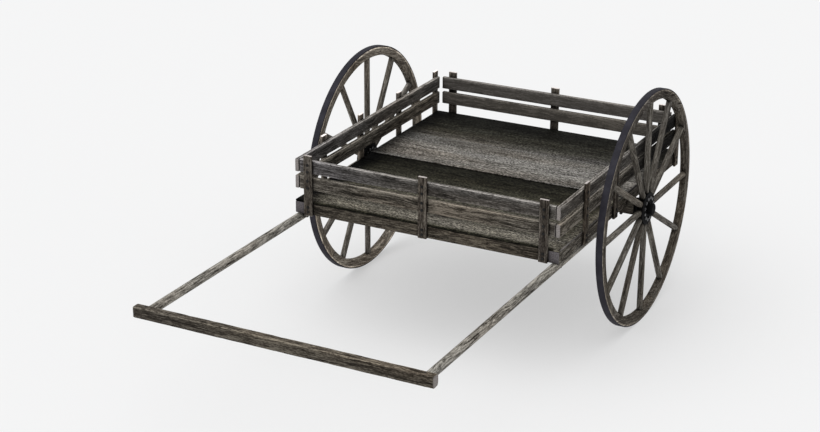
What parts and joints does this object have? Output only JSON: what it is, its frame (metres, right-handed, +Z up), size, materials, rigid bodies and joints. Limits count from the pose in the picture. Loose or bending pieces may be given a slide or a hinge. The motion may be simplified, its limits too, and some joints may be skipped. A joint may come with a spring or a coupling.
{
  "type": "two-wheeled hand cart",
  "caption": "Wooden hand cart: low open slatted box on a plank floor over an axle beam, large spoked wheels with iron tyres, and a level pull frame of round poles with a crossbar.",
  "frame": {"origin": "middle of the footprint of the whole cart, on the ground, with the pull frame level", "axes": "+X across the cart to its right-hand wheel as seen from the pull frame looking at the box, +Y from the crossbar to the tail of the box, +Z up"},
  "size_m": [1.425, 2.472, 1.026],
  "materials": {
    "box_wood": "weathered grey-brown, rough sawn",
    "frame_wood": "weathered grey-brown",
    "floor_wood": "dirty, dark, rough",
    "pole_wood": "weathered, worn smooth",
    "wheel_wood": "weathered grey-brown",
    "tyre_iron": "dark worn wrought iron",
    "black_iron": "black, dull",
    "fastener_steel": "dark, slightly rusted"
  },
  "bodies": {
    "chassis": {"axle_arm_left": "black_iron", "axle_arm_right": "black_iron", "axle_beam": "frame_wood", "axle_nuts": "black_iron", "axle_washers": "black_iron", "beam_bolts": "fastener_steel", "bearers": "frame_wood", "cross_sill_front": "frame_wood", "cross_sill_rear": "frame_wood", "crossbar": "pole_wood", "crossbar_pins": "pole_wood", "deck_boards": "floor_wood", "deck_nails": "fastener_steel", "fasteners_back": "fastener_steel", "fasteners_front": "fastener_steel", "fasteners_left": "fastener_steel", "fasteners_right": "fastener_steel", "floor_boards": "floor_wood", "floor_nails": "fastener_steel", "pole_bolts": "fastener_steel", "pole_left": "pole_wood", "pole_right": "pole_wood", "posts_back": "box_wood", "posts_front": "box_wood", "posts_left": "box_wood", "posts_right": "box_wood", "sill_left": "frame_wood", "sill_right": "frame_wood", "slat_back_lower": "box_wood", "slat_back_upper": "box_wood", "slat_front_lower": "box_wood", "slat_front_upper": "box_wood", "slat_left_lower": "box_wood", "slat_left_upper": "box_wood", "slat_right_lower": "box_wood", "slat_right_upper": "box_wood", "split_pins": "fastener_steel", "tang_bolts": "fastener_steel"},
    "wheel_left": {"axle_box_left": "black_iron", "felloe_dowels_left": "wheel_wood", "felloes_left": "wheel_wood", "hub_bolts_left": "fastener_steel", "hub_cap_left": "black_iron", "hub_flange_inner_left": "black_iron", "hub_flange_outer_left": "black_iron", "spokes_left": "wheel_wood", "tyre_left": "tyre_iron"},
    "wheel_right": {"axle_box_right": "black_iron", "felloe_dowels_right": "wheel_wood", "felloes_right": "wheel_wood", "hub_bolts_right": "fastener_steel", "hub_cap_right": "black_iron", "hub_flange_inner_right": "black_iron", "hub_flange_outer_right": "black_iron", "spokes_right": "wheel_wood", "tyre_right": "tyre_iron"}
  },
  "joints": [
    {"name": "wheel_left_spin", "type": "hinge", "parent": "chassis", "child": "wheel_left", "pos_m": [-0.6715, 0.6515, 0.513], "axis": [1, 0, 0], "continuous": true},
    {"name": "wheel_right_spin", "type": "hinge", "parent": "chassis", "child": "wheel_right", "pos_m": [0.6715, 0.6515, 0.513], "axis": [1, 0, 0], "continuous": true}
  ]
}
